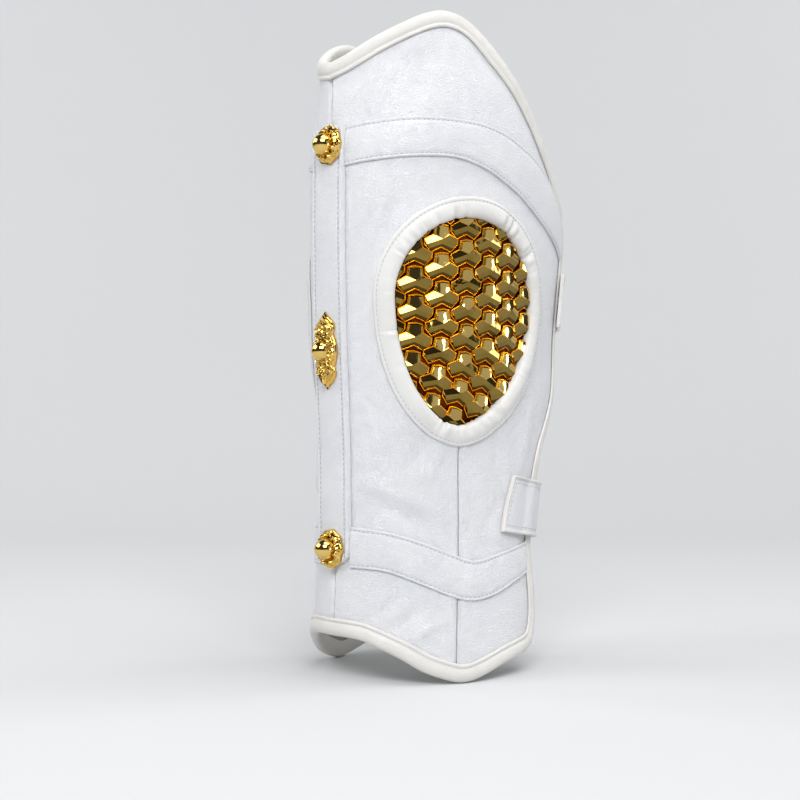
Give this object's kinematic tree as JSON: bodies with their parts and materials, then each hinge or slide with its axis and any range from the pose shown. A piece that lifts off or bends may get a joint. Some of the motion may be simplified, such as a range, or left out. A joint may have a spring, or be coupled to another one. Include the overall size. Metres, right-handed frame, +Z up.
{
  "type": "greave",
  "caption": "White padded leather greave, open down the back, with oval windows of gold three-armed scales, a front strip with gold medallions, stitched bands and closure tabs.",
  "frame": {"origin": "on the leg's axis, level with the lowest point of the hem", "axes": "+Z up the shin to the knee, -Y to the front of the leg, +X to the side that the tabs close on"},
  "size_m": [0.1376, 0.1987, 0.418],
  "materials": {
    "side_panel_right": "white pebbled leather, satin",
    "side_panel_left": "white pebbled leather, satin",
    "edge_binding": "smooth cream white leather, folded and stitched",
    "front_strip": "white pebbled leather, satin",
    "upper_band_right": "white pebbled leather, satin",
    "upper_band_left": "white pebbled leather, satin",
    "lower_band_right": "white pebbled leather, satin",
    "lower_band_left": "white pebbled leather, satin",
    "window_frame_right": "smooth cream white leather, folded and stitched",
    "window_frame_left": "smooth cream white leather, folded and stitched",
    "scale_field_right": "mirror polished gold plating",
    "scale_field_left": "mirror polished gold plating",
    "medallion_upper": "cast and polished gold plating",
    "medallion_middle": "cast and polished gold plating",
    "medallion_lower": "cast and polished gold plating",
    "upper_tab": "white pebbled leather with cream bound edges",
    "lower_tab": "white pebbled leather with cream bound edges"
  },
  "bodies": {
    "root": {"side_panel_right": "side_panel_right", "side_panel_left": "side_panel_left", "edge_binding": "edge_binding", "front_strip": "front_strip", "upper_band_right": "upper_band_right", "upper_band_left": "upper_band_left", "lower_band_right": "lower_band_right", "lower_band_left": "lower_band_left", "window_frame_right": "window_frame_right", "window_frame_left": "window_frame_left", "scale_field_right": "scale_field_right", "scale_field_left": "scale_field_left", "medallion_upper": "medallion_upper", "medallion_middle": "medallion_middle", "medallion_lower": "medallion_lower", "upper_tab": "upper_tab", "lower_tab": "lower_tab"}
  },
  "joints": []
}
